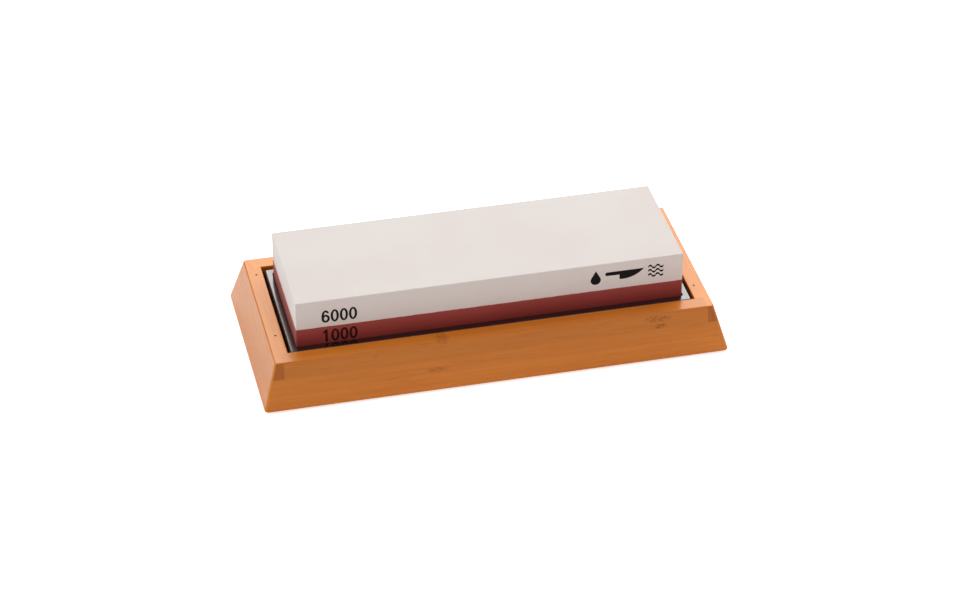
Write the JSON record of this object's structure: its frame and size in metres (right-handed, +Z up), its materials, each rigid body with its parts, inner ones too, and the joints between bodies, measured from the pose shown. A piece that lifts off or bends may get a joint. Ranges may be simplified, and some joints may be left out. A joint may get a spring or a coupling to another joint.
{
  "type": "sharpening stone with base",
  "caption": "Double-sided rectangular sharpening stone, pale over red-brown, resting in a black silicone holder set into a bamboo base with sloping sides.",
  "frame": {"origin": "centre of the footprint, at the level of the surface that the base stands on (underside of the anti-slip strips)", "axes": "+X along the stone, to the right as its digits are read; -Y towards the user; +Z up"},
  "size_m": [0.2162, 0.0968, 0.045],
  "materials": {
    "bamboo": "satin lacquered caramel bamboo",
    "strip_rubber": "matt moulded rubber",
    "brad_steel": "darkened wire",
    "silicone": "glossy moulded silicone",
    "fine_abrasive": "matt, very fine grain",
    "coarse_abrasive": "matt, fine grain",
    "adhesive": "cured film",
    "ink": "printed ink"
  },
  "bodies": {
    "base": {"base_lower_ply": "bamboo", "base_upper_ply": "bamboo", "front_rail": "bamboo", "rear_rail": "bamboo", "left_end_rail": "bamboo", "right_end_rail": "bamboo", "left_anti_slip_strip": "strip_rubber", "right_anti_slip_strip": "strip_rubber", "brad_left_front": "brad_steel", "brad_left_rear": "brad_steel", "brad_right_front": "brad_steel", "brad_right_rear": "brad_steel"},
    "holder": {"holder_tray": "silicone"},
    "stone": {"fine_grit_layer": "fine_abrasive", "bond_film": "adhesive", "coarse_grit_layer": "coarse_abrasive", "fine_grit_number": "ink", "coarse_grit_number": "ink", "drop_symbol": "ink", "knife_symbol": "ink", "wave_symbol": "ink"}
  },
  "joints": [
    {"name": "holder_lift", "type": "slide", "parent": "base", "child": "holder", "axis": [0, 0, 1], "range_m": [0, 0.04]},
    {"name": "stone_lift", "type": "slide", "parent": "holder", "child": "stone", "axis": [0, 0, 1], "range_m": [0, 0.06]}
  ]
}
